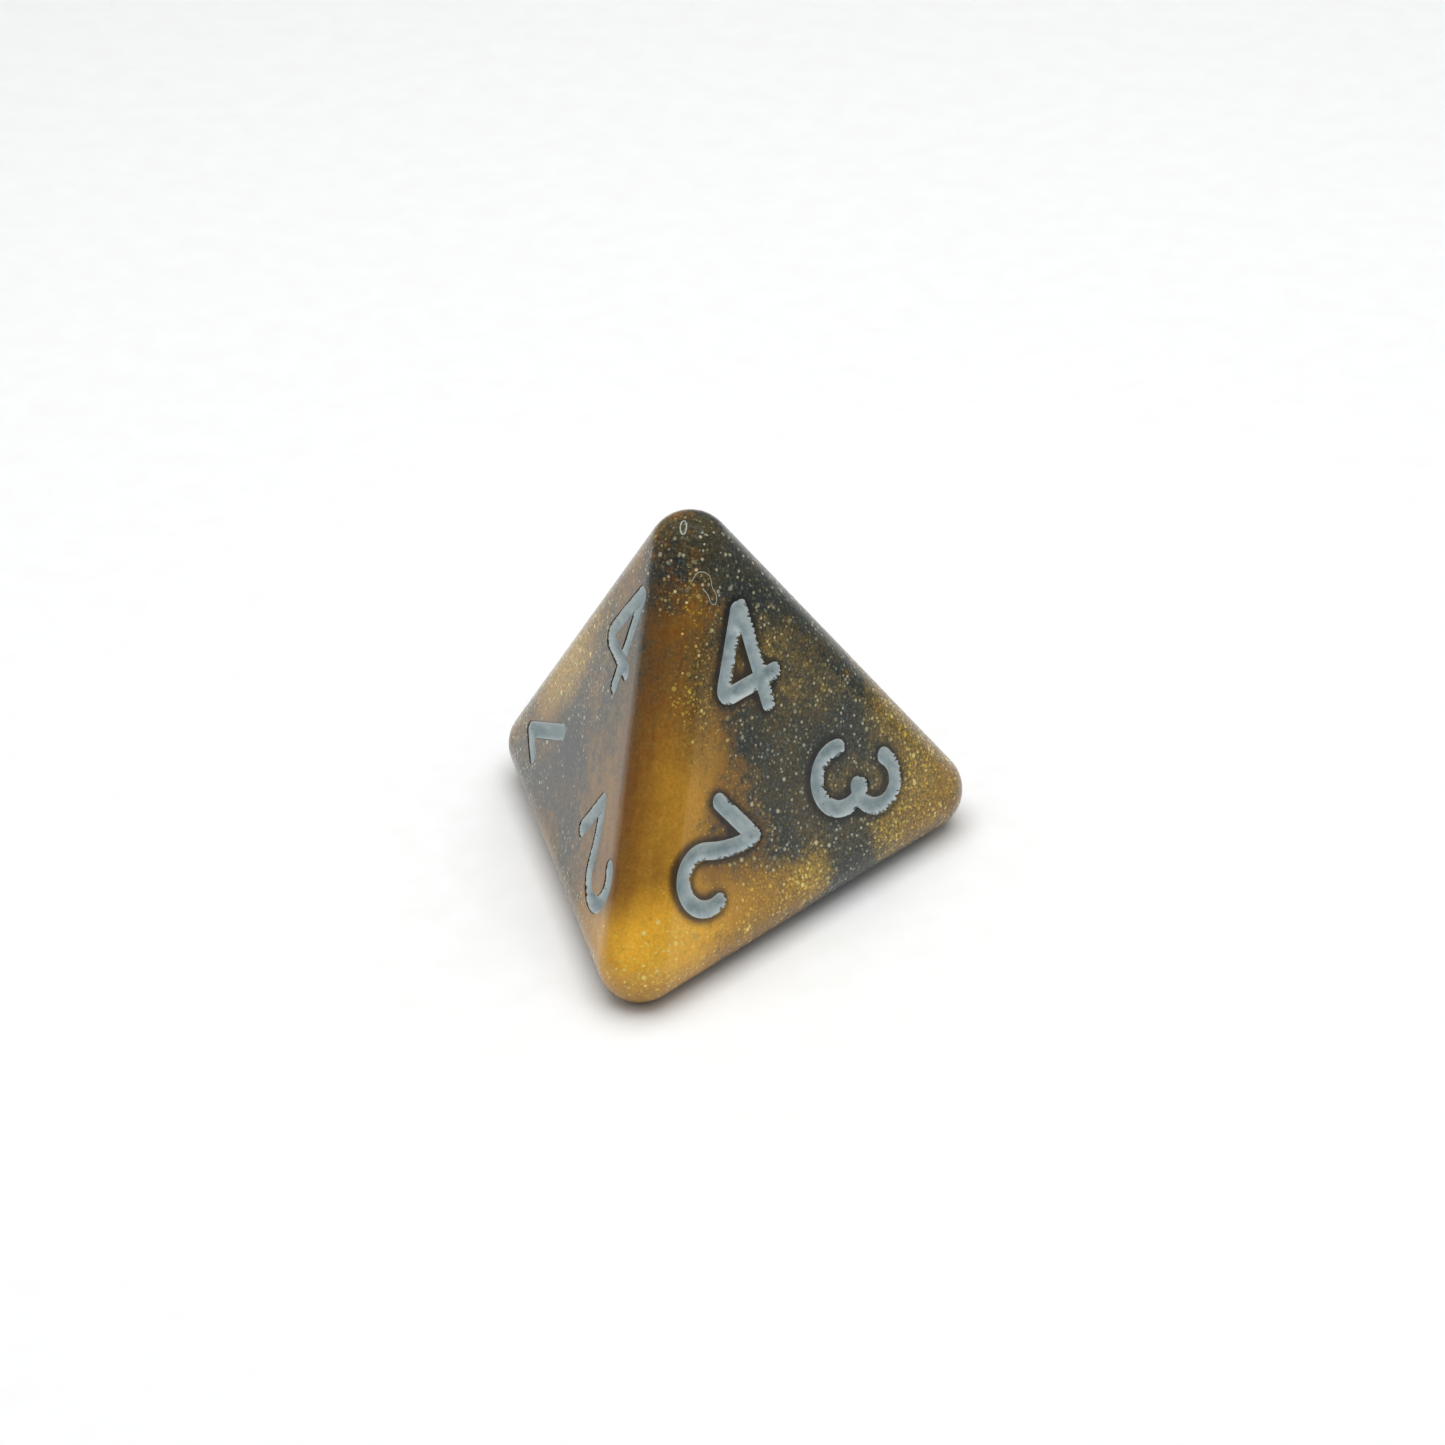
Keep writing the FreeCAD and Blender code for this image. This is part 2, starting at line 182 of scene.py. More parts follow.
def merged_copy(node: str) -> bmesh.types.BMesh:
    """Copies a CAD node's loose triangles into a closed bmesh.

    Args:
        node: name of the CAD node.

    Returns:
        The merged bmesh, in metres.
    """
    shape = bmesh.new()
    shape.from_mesh(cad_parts[node].data)
    bmesh.ops.remove_doubles(shape, verts=shape.verts, dist=MERGE_DISTANCE)
    return shape


# ---------------------------------------------------------------- the die's shape

@dataclass(frozen=True)
class Tetrahedron:
    """The sharp tetrahedron round the die, from which every place is worked out.

    Args:
        edge: length of an edge between two sharp corners, in metres.
        edge_radius: radius of the rounding along every edge, in metres.
    """

    edge: float = 25.0 * MM
    edge_radius: float = 1.75 * MM

    @property
    def middle(self) -> Vector:
        """Middle of the die."""
        return Vector((0, 0, self.edge * math.sqrt(6) / 12))

    def corner(self, number: int) -> Vector:
        """Gives the sharp corner with a number.

        Args:
            number: 1 to 4.

        Returns:
            The corner's place.
        """
        if number == 4:
            return Vector((0, 0, self.edge * math.sqrt(2 / 3)))
        turn = math.radians({1: 150, 2: -90, 3: 30}[number])
        return Vector((math.cos(turn), math.sin(turn), 0)) * self.edge / math.sqrt(3)

    def axes(self, face: Face) -> Matrix:
        """Gives a face's frame: to the right, up to its top corner, and outwards.

        Args:
            face: the face.

        Returns:
            A matrix whose first three columns are those directions, and whose
            fourth is the middle of the face.
        """
        corners = [self.corner(number) for number in face.value]
        centre = sum(corners, Vector((0, 0, 0))) / 3
        outward = (centre - self.middle).normalized()
        upward = (corners[0] - centre).normalized()
        rightward = upward.cross(outward)
        place = Matrix((rightward, upward, outward)).transposed().to_4x4()
        place.translation = centre
        return place

    def point(self, face: Face, side: float, lift: float, depth: float = 0.0) -> Vector:
        """Gives a point by where it is on a face.

        Args:
            face: the face.
            side: how far right of the face's middle, in millimetres.
            lift: how far towards its top corner, in millimetres.
            depth: how far under the face, in millimetres.

        Returns:
            The point's place, in metres.
        """
        return self.axes(face) @ (Vector((side, lift, -depth)) * MM)

    def surface(self, place: Vector) -> tuple[Vector, Vector]:
        """Finds the rounded surface's nearest point and its normal there.

        The surface lies one edge radius outside a smaller sharp tetrahedron.

        Args:
            place: a point near the surface.

        Returns:
            The nearest point of the surface and the outward normal.
        """
        share = 1 - self.edge_radius / self.middle.z
        core = {number: self.middle.lerp(self.corner(number), share) for number in (1, 2, 3, 4)}
        nearest = min(
            (closest_point_on_tri(place, *(core[number] for number in face.value)) for face in Face),
            key=lambda point: (point - place).length,
        )
        normal = (place - nearest).normalized()
        return nearest + normal * self.edge_radius, normal


# ---------------------------------------------------------------- the resin

@dataclass(frozen=True)
class SoftCloud:
    """A soft cloud placed from a face. It shapes the swirled resin and the glitter, and also the painted glow
    and painted shade.

    Args:
        face: the face that it lies under.
        side: its middle, right of the face's middle, in millimetres.
        lift: its middle, towards the face's top corner, in millimetres.
        width: half its width at the foot of its falloff, in millimetres.
        height: half its height.
        strength: how much it adds.
        turn: how far it is turned in the face, anticlockwise, in degrees.
    """

    face: Face
    side: float
    lift: float
    width: float
    height: float
    strength: float
    turn: float = 0.0


@dataclass(frozen=True)
class Flakes:
    """One size of glitter flake in the resin.

    Args:
        spacing: distance between flakes, in millimetres.
        radius: largest radius of a flake, in millimetres. Real ones are finer, which
            wouldn't show.
        share: how many of the places hold a flake, from 0 to 1.
        opacity: how strongly a flake covers the resin's colour.
        tilt: how far flakes lean off the surface.
        warm: colours of the flakes in amber resin.
        cool: colours of the flakes in smoke resin.
    """

    spacing: float
    radius: float
    share: float
    opacity: float
    tilt: float
    warm: tuple[str, ...]
    cool: tuple[str, ...]


# Smoke-coloured pours add and amber ones take away.
CLOUDS = (
    # right face: smoke from the tip down the upper right edge
    SoftCloud(Face.RIGHT, 1.3, 10.6, 1.9, 3.4, 1.1),
    SoftCloud(Face.RIGHT, 1.8, 8.0, 2.6, 3.0, 1.0),
    SoftCloud(Face.RIGHT, 3.7, 5.4, 1.3, 3.4, 0.7, 30),
    SoftCloud(Face.RIGHT, 5.0, 2.6, 1.2, 2.8, 0.7, 30),
    SoftCloud(Face.RIGHT, 3.0, 3.6, 2.2, 2.8, 0.55, 30),
    # and a slanting band through its middle to the lower edge
    SoftCloud(Face.RIGHT, -0.5, 1.8, 2.2, 2.6, 0.85),
    SoftCloud(Face.RIGHT, 0.0, -1.2, 2.4, 3.0, 0.95),
    SoftCloud(Face.RIGHT, 2.6, 0.9, 3.2, 2.2, 0.7),
    SoftCloud(Face.RIGHT, 4.4, -0.4, 2.8, 2.6, 0.85),
    SoftCloud(Face.RIGHT, 2.4, -4.2, 1.5, 2.8, 1.1),
    SoftCloud(Face.RIGHT, 3.2, -6.6, 5.6, 0.8, 0.9),
    # amber down its left side, along the foot and into the corners
    SoftCloud(Face.RIGHT, 5.6, -4.7, 2.2, 1.9, -1.2),
    SoftCloud(Face.RIGHT, -10.6, -6.4, 4.6, 3.4, -1.6),
    SoftCloud(Face.RIGHT, -5.4, 2.3, 3.2, 6.5, -1.0, -30),
    SoftCloud(Face.RIGHT, -7.5, -3.0, 4.5, 3.5, -1.1),
    SoftCloud(Face.RIGHT, -2.6, -4.6, 3.6, 2.0, -0.8),
    SoftCloud(Face.RIGHT, 0.2, -5.0, 1.6, 1.5, -0.6),
    SoftCloud(Face.RIGHT, -3.5, 8.8, 1.6, 5.0, -1.1, -30),
    SoftCloud(Face.RIGHT, 7.4, -3.4, 3.2, 2.6, -0.9),
    SoftCloud(Face.RIGHT, 6.9, -0.6, 1.4, 2.8, -0.5, 30),
    # left face
    SoftCloud(Face.LEFT, -4.8, 1.8, 2.4, 4.6, -1.0, -30),
    SoftCloud(Face.LEFT, -1.2, -1.6, 3.8, 3.8, 0.9),
    SoftCloud(Face.LEFT, -4.5, -4.0, 3.4, 2.4, 0.8),
    SoftCloud(Face.LEFT, 1.2, -4.2, 2.6, 2.0, 0.6),
    SoftCloud(Face.LEFT, 2.0, 3.4, 2.8, 3.6, 0.4),
    SoftCloud(Face.LEFT, 0.8, 9.4, 2.0, 3.8, 0.7),
    SoftCloud(Face.LEFT, 7.6, -4.0, 4.0, 2.6, -1.1),
    # the two faces that show from behind and below, swirled in the same way
    SoftCloud(Face.BACK, -3.2, 2.4, 2.8, 5.0, -0.9, -20),
    SoftCloud(Face.BACK, 2.6, 0.8, 2.6, 4.6, 0.9, 25),
    SoftCloud(Face.BACK, 1.0, -4.2, 4.2, 1.8, -0.8),
    SoftCloud(Face.BACK, -6.6, -3.6, 3.0, 2.2, 0.9),
    SoftCloud(Face.BACK, 0.4, 8.4, 2.4, 2.6, 0.8),
    SoftCloud(Face.BOTTOM, -1.6, 2.6, 3.6, 4.2, -0.9, 15),
    SoftCloud(Face.BOTTOM, 2.8, -1.4, 3.2, 3.4, 0.9, -30),
    SoftCloud(Face.BOTTOM, -5.2, -3.6, 3.2, 2.2, 0.8),
)

# Pours near the tip that set before the swirl dragged them.
CALM_CLOUDS = (
    SoftCloud(Face.RIGHT, -2.6, 10.4, 1.3, 4.2, -1.9, -30),
    SoftCloud(Face.RIGHT, 0.3, 9.2, 1.5, 2.8, 0.9, -30),
)

# Painted glow: where light gathers in the clear amber and makes it glow, its colour is painted lighter; where
# it stays deep, it is not.
PAINTED_GLOWS = (
    SoftCloud(Face.RIGHT, -8.4, -4.2, 4.0, 3.0, 0.80),
    SoftCloud(Face.RIGHT, -4.8, -4.6, 4.5, 1.8, 0.34),
    SoftCloud(Face.RIGHT, -5.0, 0.4, 1.8, 5.0, 0.30, -30),
    SoftCloud(Face.RIGHT, 0.5, -4.7, 3.0, 1.6, 0.20),
    SoftCloud(Face.RIGHT, 7.5, -4.0, 2.6, 2.0, 0.10),
    SoftCloud(Face.LEFT, -4.8, 1.6, 2.4, 4.4, 0.60, -30),
    SoftCloud(Face.LEFT, 7.4, -4.4, 3.4, 2.0, 0.35),
    SoftCloud(Face.BACK, -3.4, 2.0, 2.4, 4.0, 0.3, -20),
    SoftCloud(Face.BOTTOM, -1.4, 2.4, 3.0, 3.6, 0.3, 15),
)

# Painted shade: where the front and lower edges' rounding shades the amber beside it, its colour is painted
# darker in straight bands.
PAINTED_EDGE_SHADES = (
    SoftCloud(Face.RIGHT, -6.3, 3.6, 1.4, 13.0, -0.38, -30),
    SoftCloud(Face.RIGHT, -2.0, -7.3, 11.0, 1.4, -0.32),
    SoftCloud(Face.RIGHT, -11.2, -6.9, 2.4, 2.4, -0.30),
    SoftCloud(Face.RIGHT, -4.0, 7.0, 1.5, 7.5, -0.10, -30),
    SoftCloud(Face.RIGHT, -2.2, 8.6, 2.4, 5.5, -0.16, -30),
    SoftCloud(Face.RIGHT, -3.0, 4.4, 1.5, 3.6, -0.20, -30),
)

# Where a little smoke has turned the amber to olive gold.
BLENDS = (
    SoftCloud(Face.RIGHT, 5.0, 0.5, 7.0, 9.0, 1.9),
    SoftCloud(Face.RIGHT, 1.5, 5.5, 3.0, 6.0, 0.8),
    SoftCloud(Face.RIGHT, 1.5, -4.5, 6.0, 2.6, 0.7),
    SoftCloud(Face.RIGHT, -2.4, 4.8, 1.7, 4.2, 0.9, -30),
    SoftCloud(Face.LEFT, -4.8, 1.6, 4.0, 6.0, 1.0, -30),
    SoftCloud(Face.LEFT, 1.0, 3.0, 4.0, 7.0, 0.8),
    SoftCloud(Face.BACK, 1.0, 0.0, 7.0, 8.0, 0.9),
    SoftCloud(Face.BOTTOM, 2.0, 0.0, 6.0, 8.0, 0.8),
)

# Where the glitter has gathered, and where it has sunk and the pearl lies smooth.
GATHERINGS = (
    SoftCloud(Face.RIGHT, 0.8, -4.6, 3.6, 2.0, 1.2),
    SoftCloud(Face.RIGHT, -8.4, -4.6, 2.4, 1.9, 1.8),
    SoftCloud(Face.RIGHT, -10.8, -6.8, 2.4, 2.4, -2.0),
    SoftCloud(Face.RIGHT, -7.6, 1.0, 1.6, 8.0, -0.9, -30),
    SoftCloud(Face.RIGHT, -4.4, 6.5, 1.3, 6.5, -0.7, -30),
    SoftCloud(Face.LEFT, 3.5, 2.0, 4.5, 9.0, -1.5, 30),
    SoftCloud(Face.LEFT, -1.0, -2.5, 6.5, 5.0, -1.1),
)

GOLD_TINTS = ("#b08a2c", "#d6ac3e", "#ecca55", "#f7e588")
SMOKE_TINTS = ("#48493a", "#676244", "#596868", "#a09a76", "#cfcbb0")
GLITTER = (
    Flakes(0.10, 0.060, 0.60, 0.60, 0.5, GOLD_TINTS[:3], SMOKE_TINTS[:3]),
    Flakes(0.17, 0.080, 0.55, 0.85, 0.6, GOLD_TINTS, SMOKE_TINTS),
    Flakes(0.46, 0.120, 0.45, 0.90, 0.4, GOLD_TINTS[2:], SMOKE_TINTS[2:]),
)


# How two stray fibres lie, in millimetres from their middles.
RING_TURNS = ((0.1, 1.1), (0.42, 0.7), (0.4, -0.2), (0.06, -1.0), (-0.3, -0.95), (-0.42, -0.1), (-0.24, 0.75))
CURL_TURNS = (
    (-0.5, 0.5), (-0.2, 0.74), (0.2, 0.62), (0.42, 0.3), (0.3, -0.1), (0.44, -0.5), (0.26, -0.86),
    (0.0, -0.7), (0.06, -0.3), (-0.12, 0.0),
)


@dataclass(frozen=True)
class CastResin:
    """Cast polyester resin, swirled, set and tumbled to a deep gloss.

    Under the gloss are clouds of pearl pigment and flakes of glitter, so the colour
    is soft and deep while the surface mirrors the floor. Its colour also holds painted
    light: painted glow in the amber, and painted shade along the edges and beside the figures.

    Args:
        ambers: the clear amber, from where it is deep to where it glows, as painted shade and painted glow.
        mixed: the olive gold where a little smoke has mixed into it, likewise.
        smokes: the smoke, from where amber has mixed in to where it is coolest.
        swirl_size: size of the large swirls, in millimetres.
        swirl_throw: how far the clouds are dragged out of shape, in millimetres.
        mottle_size: size of the small curds where the colours meet, in millimetres.
        pigment_size: size of the finest grains of pigment, in millimetres. Real ones
            are under 0.05, which would be too fine to show.
        ior: refractive index of cast polyester.
        gloss_roughness: roughness of the tumbled surface.
        pearl_roughness: roughness of the pearl under it.
        flake_roughness: roughness of a flake.
        flake_metal: how metallic a flake is.
        smoke_size: size of the warm and cool clouds in the smoke, in millimetres.
        drift_size: size of the drifts of glitter, in millimetres.
        gloss: strength of the gloss.
        pearl_gloss: strength of the pearl's own shine.
        wall_shade_reach: how far from a groove the painted shade of its wall reaches, in millimetres.
        wall_shade_lean: the direction in which most of that painted shade lies.
        wall_shades: how light that painted shade leaves a face turned to -X, and one turned to +X.
    """

    ambers: tuple[str, ...] = ("#3a220a", "#72470e", "#996c1a", "#be8a23", "#dda42d")
    mixed: tuple[str, ...] = ("#463b1d", "#66552a", "#82692f", "#a08238")
    smokes: tuple[str, ...] = ("#41381f", "#2b2c23", "#1f2624")
    swirl_size: float = 5.5
    swirl_throw: float = 1.4
    mottle_size: float = 0.45
    pigment_size: float = 0.13
    ior: float = 1.5
    gloss_roughness: float = 0.04
    pearl_roughness: float = 0.42
    flake_roughness: float = 0.28
    flake_metal: float = 0.5
    smoke_size: float = 2.4
    drift_size: float = 1.6
    gloss: float = 0.6
    pearl_gloss: float = 0.2
    wall_shade_reach: float = 0.50
    wall_shade_lean: tuple[float, float, float] = (0.06, 0.45, -0.30)
    wall_shades: tuple[float, float] = (0.8, 0.10)

    def cloud_sum(self, tree: NodeTree, place: NodeSocket, start: NodeSocket,
                  clouds: tuple[SoftCloud, ...], die: Tetrahedron) -> NodeSocket:
        """Adds up soft clouds at a place.

        Args:
            tree: the material's node tree.
            place: the place, in millimetres.
            start: what the sum starts from.
            clouds: the clouds.
            die: the shape that places them.

        Returns:
            The socket of the sum.
        """
        total = start
        for cloud in clouds:
            turned = die.axes(cloud.face).to_3x3() @ Matrix.Rotation(math.radians(cloud.turn), 3, "Z")
            local = add_node(tree, "ShaderNodeMapping", {
                "Vector": place,
                "Location": die.point(cloud.face, cloud.side, cloud.lift) * PER_MM,
                "Rotation": turned.to_euler(),
                "Scale": (cloud.width, cloud.height, (cloud.width + cloud.height) / 2),
            }, vector_type="TEXTURE")
            falloff = add_node(tree, "ShaderNodeTexGradient", {"Vector": local.outputs[0]},
                               gradient_type="SPHERICAL")
            total = add_node(tree, "ShaderNodeMath", {
                0: falloff.outputs["Fac"], 1: cloud.strength, 2: total,
            }, operation="MULTIPLY_ADD").outputs[0]
        return total

    def flake_layer(self, tree: NodeTree, place: NodeSocket, smoke: NodeSocket,
                    density: NodeSocket, flakes: Flakes) -> tuple[NodeSocket, ...]:
        """Adds one size of glitter.

        Args:
            tree: the material's node tree.
            place: the place, in millimetres.
            smoke: how smoky the resin is there.
            density: how much of the glitter shows there.
            flakes: the size of glitter.

        Returns:
            The sockets of the flakes' mask, their colour and their random lean.
        """
        cells = add_node(tree, "ShaderNodeTexVoronoi", {
            "Vector": place, "Scale": 1 / flakes.spacing, "Randomness": 1.0,
        }, feature="F1", voronoi_dimensions="3D")
        chance = add_node(tree, "ShaderNodeSeparateColor", {0: cells.outputs["Color"]})
        limit = add_node(tree, "ShaderNodeMath", {0: density, 1: flakes.share}, operation="MULTIPLY")
        there = add_node(tree, "ShaderNodeMath", {
            0: chance.outputs[0], 1: limit.outputs[0],
        }, operation="LESS_THAN")
        reach = flakes.radius / flakes.spacing
        disc = add_node(tree, "ShaderNodeMapRange", {
            "Value": cells.outputs["Distance"], "From Min": reach * 0.6, "From Max": reach,
            "To Min": 1.0, "To Max": 0.0,
        }, interpolation_type="SMOOTHSTEP")
        dim = add_node(tree, "ShaderNodeMapRange", {
            "Value": chance.outputs[2], "To Min": flakes.opacity * 0.35, "To Max": flakes.opacity,
        })
        mask = add_node(tree, "ShaderNodeMath", {
            0: there.outputs[0], 1: disc.outputs[0],
        }, operation="MULTIPLY")
        mask = add_node(tree, "ShaderNodeMath", {0: mask.outputs[0], 1: dim.outputs[0]}, operation="MULTIPLY")
        tints = []
        for colours in (flakes.warm, flakes.cool):
            stops = [(number / len(colours), colour) for number, colour in enumerate(colours)]
            ramp = add_node(tree, "ShaderNodeValToRGB", {"Fac": chance.outputs[1]}, stops=stops)
            ramp.color_ramp.interpolation = "CONSTANT"
            tints.append(ramp.outputs[0])
        tint = add_node(tree, "ShaderNodeMix", {0: smoke, 6: tints[0], 7: tints[1]}, data_type="RGBA")
        lean = add_node(tree, "ShaderNodeVectorMath", {
            0: cells.outputs["Color"], 1: (0.5, 0.5, 0.5),
        }, operation="SUBTRACT")
        strength = add_node(tree, "ShaderNodeMath", {
            0: mask.outputs[0], 1: flakes.tilt,
        }, operation="MULTIPLY")
        lean = add_node(tree, "ShaderNodeVectorMath", {
            0: lean.outputs[0], "Scale": strength.outputs[0],
        }, operation="SCALE")
        return mask.outputs[0], tint.outputs[2], lean.outputs[0]

    def dress(self, die: Tetrahedron) -> Material:
        """Builds the material.

        Args:
            die: the shape that places its clouds.

        Returns:
            The material.
        """
        material, tree, place = new_material("cast_polyester_resin_pearl_and_glitter")
        drag = add_node(tree, "ShaderNodeTexNoise", {
            "Vector": place, "Scale": 1 / self.swirl_size, "Detail": 2.0, "Roughness": 0.55,
        })
        drag = add_node(tree, "ShaderNodeVectorMath", {
            0: drag.outputs["Color"], 1: (0.5, 0.5, 0.5),
        }, operation="SUBTRACT")
        dragged = add_node(tree, "ShaderNodeVectorMath", {
            0: drag.outputs[0], 1: (2 * self.swirl_throw,) * 3, 2: place,
        }, operation="MULTIPLY_ADD").outputs[0]

        # smoke or amber: the pours, a broad swirl and the curds where they meet
        swirl = add_node(tree, "ShaderNodeTexNoise", {
            "Vector": dragged, "Scale": 1 / self.swirl_size, "Detail": 3.0, "Roughness": 0.5,
            "Distortion": 0.6,
        })
        swirl = stretched(tree, swirl.outputs["Fac"], -0.3, 0.3)
        mottle = add_node(tree, "ShaderNodeTexNoise", {
            "Vector": place, "Scale": 1 / self.mottle_size, "Detail": 3.0, "Roughness": 0.65,
        })
        curds = stretched(tree, mottle.outputs["Fac"], -0.42, 0.42)
        start = add_node(tree, "ShaderNodeMath", {0: swirl.outputs[0], 1: curds.outputs[0]}, operation="ADD")
        smokiness = self.cloud_sum(tree, dragged, start.outputs[0], CLOUDS, die)
        smokiness = self.cloud_sum(tree, place, smokiness, CALM_CLOUDS, die)
        smoke = add_node(tree, "ShaderNodeMapRange", {
            "Value": smokiness, "From Min": -0.55, "From Max": 0.62,
        }, interpolation_type="SMOOTHSTEP").outputs[0]

        # how brightly the amber is painted to glow: silky streaks along the front edge, painted glow where
        # light gathers and painted shade along the edges
        shimmer = stretched(tree, mottle.outputs["Fac"], 0.26, 0.42)
        along = die.axes(Face.RIGHT).to_3x3() @ Matrix.Rotation(math.radians(-30), 3, "Z")
        silk = add_node(tree, "ShaderNodeMapping", {
            "Vector": place, "Rotation": along.to_euler(), "Scale": (0.28, 5.0, 0.8),
        }, vector_type="TEXTURE")
        silk = add_node(tree, "ShaderNodeTexNoise", {
            "Vector": silk.outputs[0], "Scale": 1.0, "Detail": 2.0, "Roughness": 0.6,
        })
        silk = add_node(tree, "ShaderNodeMath", {
            0: silk.outputs["Fac"], 1: 0.22, 2: shimmer.outputs[0],
        }, operation="MULTIPLY_ADD")
        # painted glow where light gathers in the amber
        glow = self.cloud_sum(tree, dragged, silk.outputs[0], PAINTED_GLOWS, die)
        # painted shade along the front and lower edges, in straight bands
        glow = self.cloud_sum(tree, place, glow, PAINTED_EDGE_SHADES, die)
        ramps = []
        for shades in (self.ambers, self.mixed):
            stops = [(number / (len(shades) - 1), shade) for number, shade in enumerate(shades)]
            ramps.append(add_node(tree, "ShaderNodeValToRGB", {"Fac": glow}, stops=stops).outputs[0])
        blend = stretched(tree, mottle.outputs["Fac"], -0.25, 0.25)
        blend = self.cloud_sum(tree, dragged, blend.outputs[0], BLENDS, die)
        blend = add_node(tree, "ShaderNodeMapRange", {"Value": blend})
        amber = add_node(tree, "ShaderNodeMix", {
            0: blend.outputs[0], 6: ramps[0], 7: ramps[1],
        }, data_type="RGBA")

        # warm and cool clouds in the smoke
        cool = add_node(tree, "ShaderNodeTexNoise", {
            "Vector": dragged, "Scale": 1 / self.smoke_size, "Detail": 2.0, "Roughness": 0.5,
        })
        stops = [(0.36 + 0.14 * number, colour) for number, colour in enumerate(self.smokes)]
        grey = add_node(tree, "ShaderNodeValToRGB", {"Fac": cool.outputs["Fac"]}, stops=stops)
        colour = add_node(tree, "ShaderNodeMix", {
            0: smoke, 6: amber.outputs[2], 7: grey.outputs[0],
        }, data_type="RGBA").outputs[2]

        # the finest pigment grains, strong in the smoke and faint in the clear amber
        pigment = add_node(tree, "ShaderNodeTexNoise", {
            "Vector": place, "Scale": 1 / self.pigment_size, "Detail": 2.0, "Roughness": 0.75,
        })
        gathered = add_node(tree, "ShaderNodeMath", {0: smoke, 1: blend.outputs[0]}, operation="MAXIMUM")
        amount = add_node(tree, "ShaderNodeMapRange", {"Value": gathered.outputs[0], "To Min": 0.2})
        specks = stretched(tree, pigment.outputs["Fac"], -0.6, 0.7, swing=0.2)
        specks = add_node(tree, "ShaderNodeMath", {
            0: specks.outputs[0], 1: amount.outputs[0], 2: 1.0,
        }, operation="MULTIPLY_ADD")
        hues = add_node(tree, "ShaderNodeMix", {
            0: amount.outputs[0], 6: (0.5, 0.5, 0.5, 1.0), 7: pigment.outputs["Color"],
        }, data_type="RGBA")
        hues = add_node(tree, "ShaderNodeVectorMath", {
            0: hues.outputs[2], 1: (0.9, 0.9, 0.9), 2: (0.55, 0.55, 0.55),
        }, operation="MULTIPLY_ADD")
        colour = add_node(tree, "ShaderNodeVectorMath", {0: colour, 1: hues.outputs[0]}, operation="MULTIPLY")
        colour = add_node(tree, "ShaderNodeVectorMath", {
            0: colour.outputs[0], "Scale": specks.outputs[0],
        }, operation="SCALE").outputs[0]

        # glitter, thick in places and sunk in others
        drifts = add_node(tree, "ShaderNodeTexNoise", {
            "Vector": dragged, "Scale": 1 / self.drift_size, "Detail": 4.0, "Roughness": 0.7,
        })
        drifts = stretched(tree, drifts.outputs["Fac"], -0.25, 0.35, swing=0.2)
        thick = add_node(tree, "ShaderNodeMath", {
            0: gathered.outputs[0], 1: 0.75, 2: 0.32,
        }, operation="MULTIPLY_ADD")
        thick = add_node(tree, "ShaderNodeMath", {0: thick.outputs[0], 1: drifts.outputs[0]}, operation="ADD")
        density = self.cloud_sum(tree, place, thick.outputs[0], GATHERINGS, die)
        geometry = add_node(tree, "ShaderNodeNewGeometry")
        normal = geometry.outputs["Normal"]
        covered = 0.0
        for flakes in GLITTER:
            mask, tint, lean = self.flake_layer(tree, place, smoke, density, flakes)
            colour = add_node(tree, "ShaderNodeMix", {
                0: mask, 6: colour, 7: tint,
            }, data_type="RGBA", blend_type="LIGHTEN").outputs[2]
            normal = add_node(tree, "ShaderNodeVectorMath", {0: normal, 1: lean}, operation="ADD").outputs[0]
            covered = add_node(tree, "ShaderNodeMath", {0: covered, 1: mask}, operation="MAXIMUM").outputs[0]
        normal = add_node(tree, "ShaderNodeVectorMath", {0: normal}, operation="NORMALIZE").outputs[0]

        # painted shade: near a groove the colour is darkened into a band beside its figure,
        # where the groove's wall would show dark through the clear surface. The band leans to
        # the walls that face forwards and up, and on a face that is turned to -X it is painted
        # fainter, lost in that face's milky gloss
        leaning = add_node(tree, "ShaderNodeVectorMath", {
            0: geometry.outputs["Normal"], 1: self.wall_shade_lean,
        }, operation="SUBTRACT")
        leaning = add_node(tree, "ShaderNodeVectorMath", {0: leaning.outputs[0]}, operation="NORMALIZE")
        wall = add_node(tree, "ShaderNodeAmbientOcclusion", {
            "Distance": self.wall_shade_reach * MM, "Normal": leaning.outputs[0],
        }, samples=8, inside=True, only_local=True)
        facing = add_node(tree, "ShaderNodeSeparateXYZ", {0: geometry.outputs["Normal"]})
        darkest = add_node(tree, "ShaderNodeMapRange", {
            "Value": facing.outputs["X"], "From Min": -0.5, "From Max": 0.5,
            "To Min": self.wall_shades[0], "To Max": self.wall_shades[1],
        })
        # how much painted shade the groove's wall puts on the colour
        shade = add_node(tree, "ShaderNodeMapRange", {
            "Value": wall.outputs["AO"], "From Min": 0.62, "From Max": 0.97, "To Min": darkest.outputs[0],
            "To Max": 1.0,
        }, interpolation_type="SMOOTHSTEP")
        colour = add_node(tree, "ShaderNodeVectorMath", {
            0: colour, "Scale": shade.outputs[0],
        }, operation="SCALE").outputs[0]

        roughness = add_node(tree, "ShaderNodeMapRange", {
            "Value": covered, "To Min": self.pearl_roughness, "To Max": self.flake_roughness,
        })
        metal = add_node(tree, "ShaderNodeMath", {0: covered, 1: self.flake_metal}, operation="MULTIPLY")
        shader = add_node(tree, "ShaderNodeBsdfPrincipled", {
            "Base Color": colour,
            "Metallic": metal.outputs[0],
            "Roughness": roughness.outputs[0],
            "IOR": self.ior,
            "Specular IOR Level": self.pearl_gloss,
            "Normal": normal,
            "Coat Weight": self.gloss,
            "Coat Roughness": self.gloss_roughness,
            "Coat IOR": self.ior,
        })
        add_node(tree, "ShaderNodeOutputMaterial", {"Surface": shader.outputs[0]})
        return material


